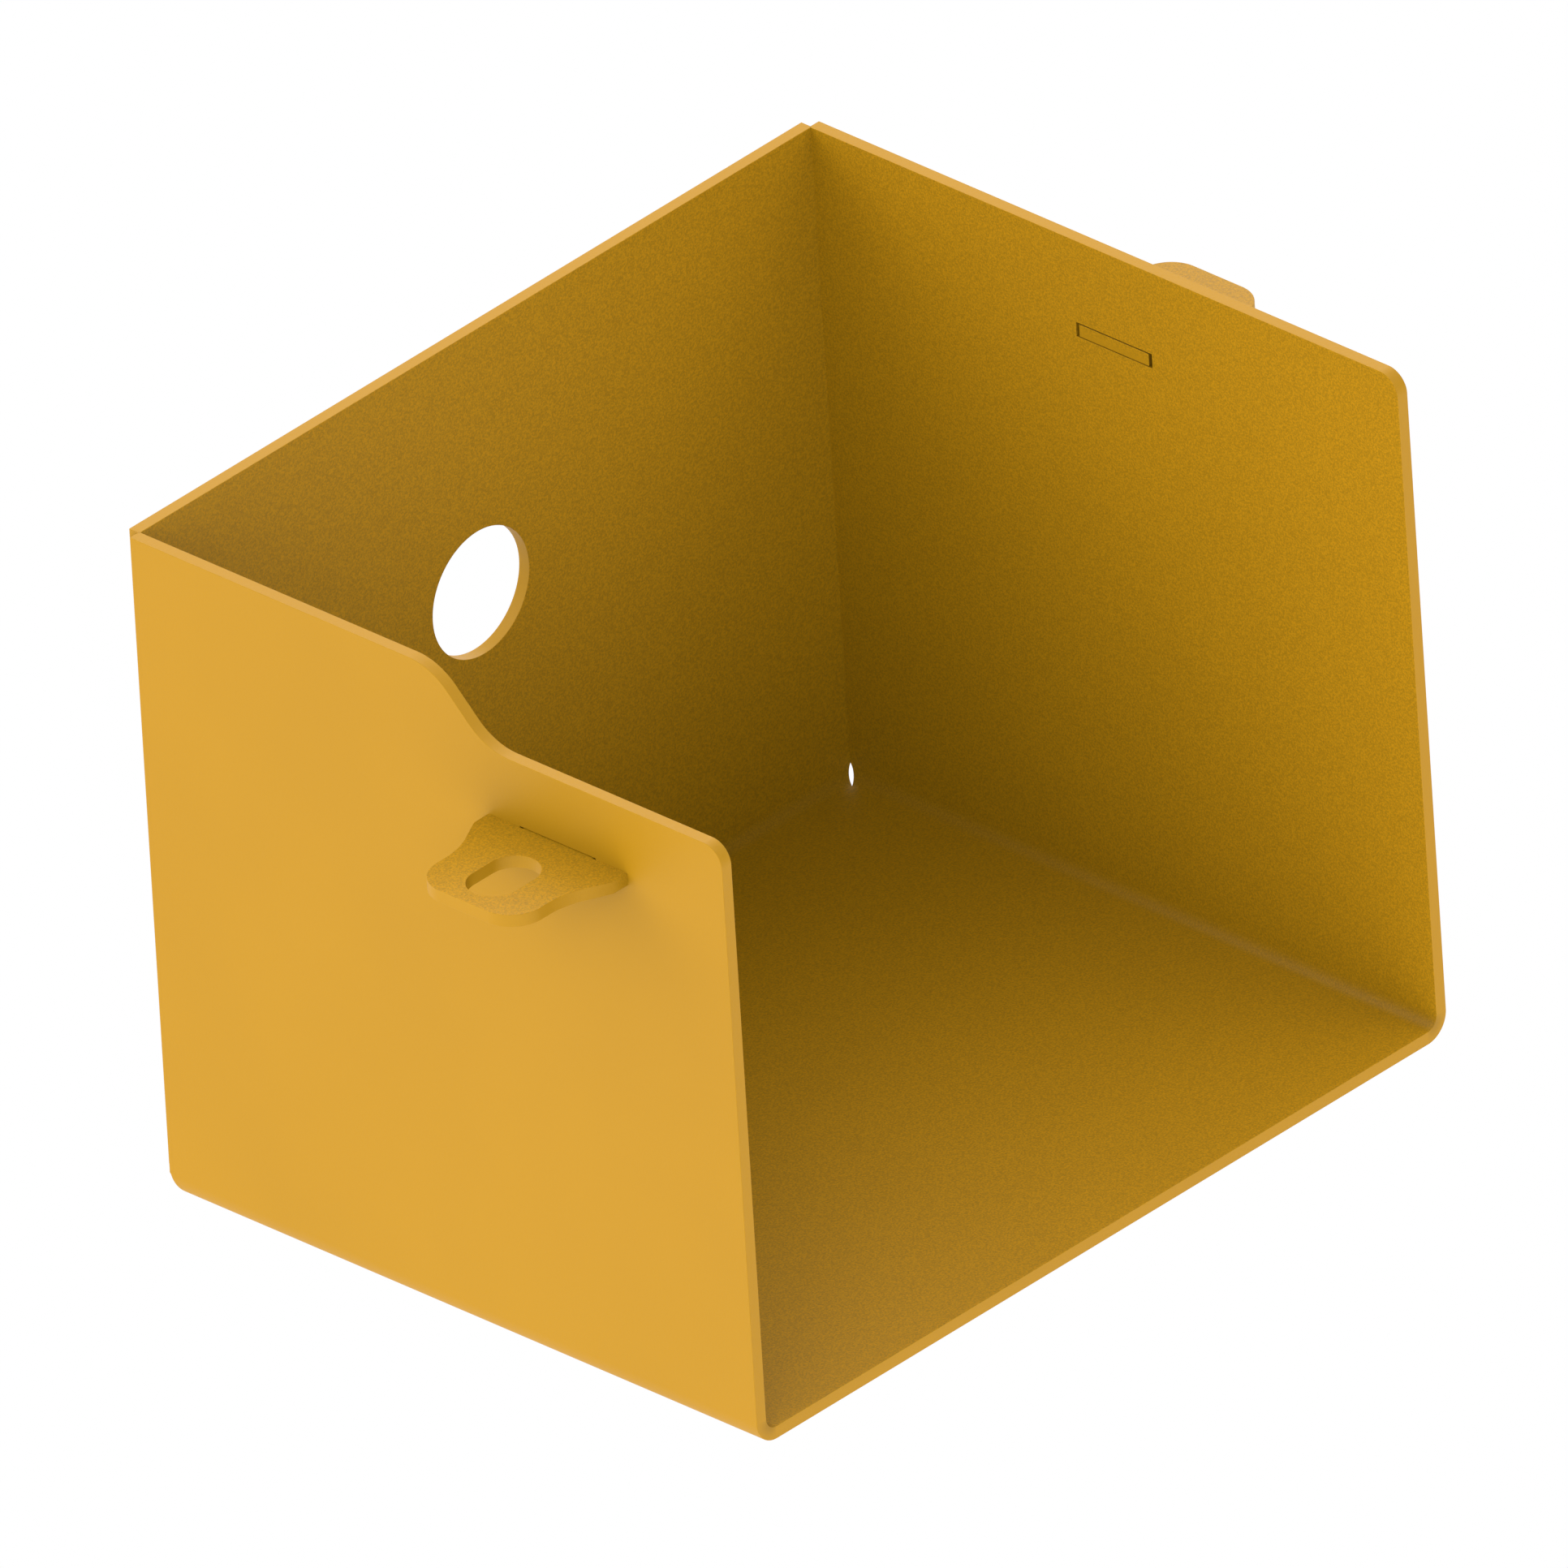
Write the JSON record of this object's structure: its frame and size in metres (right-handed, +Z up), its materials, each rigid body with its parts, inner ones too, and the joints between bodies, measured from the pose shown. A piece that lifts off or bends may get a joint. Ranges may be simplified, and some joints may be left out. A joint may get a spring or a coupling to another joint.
{
  "type": "open sheet metal box",
  "caption": "Folded sheet-steel box, open at the top and the front, with a stepped side rim, a round hole in the back and a fixing tab on each side.",
  "frame": {"origin": "centre of the whole part's footprint, on the plane of the floor's underside", "axes": "+Z up from the floor to the rim, -Y out through the open front, +Y through the back wall, -X towards the left wall with the stepped rim, +X towards the right wall"},
  "size_m": [0.2746, 0.1718, 0.163],
  "materials": {
    "powder_coat": "matte powder coat with a fine texture over sheet steel",
    "coated_weld": "matte powder coat over rippled weld beads"
  },
  "bodies": {
    "root": {"folded_shell": "powder_coat", "left_tab": "powder_coat", "right_tab": "powder_coat", "left_tab_weld_1": "coated_weld", "left_tab_weld_2": "coated_weld", "right_tab_weld_1": "coated_weld", "right_tab_weld_2": "coated_weld", "left_corner_weld_1": "coated_weld", "left_corner_weld_2": "coated_weld", "left_corner_weld_3": "coated_weld", "right_corner_weld_1": "coated_weld", "right_corner_weld_2": "coated_weld", "right_corner_weld_3": "coated_weld"}
  },
  "joints": []
}
